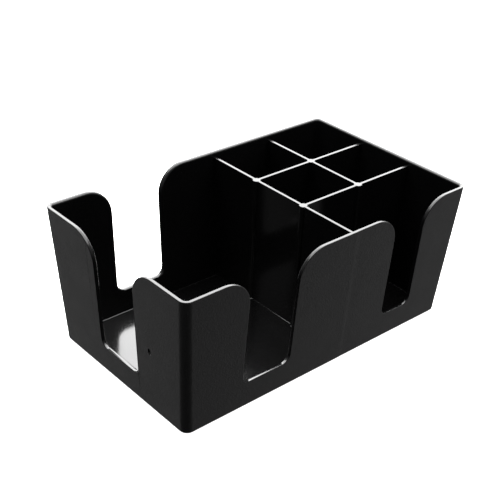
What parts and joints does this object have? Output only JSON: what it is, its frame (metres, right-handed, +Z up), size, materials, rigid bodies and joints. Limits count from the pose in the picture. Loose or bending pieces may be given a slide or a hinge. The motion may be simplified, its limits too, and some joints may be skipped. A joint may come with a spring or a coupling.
{
  "type": "napkin and straw caddy",
  "caption": "Open bar-top caddy moulded in black plastic: a notched napkin well beside divided cells for straws, picks and sachets, on rubber feet.",
  "frame": {"origin": "on the counter, under the middle of the caddy's rim", "axes": "+X along the caddy away from the napkin end, +Y to the rear wall that has one notch, +Z up"},
  "size_m": [0.241, 0.1454, 0.1],
  "materials": {
    "black_plastic": "black moulded polystyrene: fine satin spark-eroded texture outside, glossier inside and on the rims",
    "black_rubber": "matt black non-slip rubber"
  },
  "bodies": {
    "root": {"caddy_body": "black_plastic", "foot_front_left": "black_rubber", "foot_front_right": "black_rubber", "foot_rear_left": "black_rubber", "foot_rear_right": "black_rubber"}
  },
  "joints": []
}
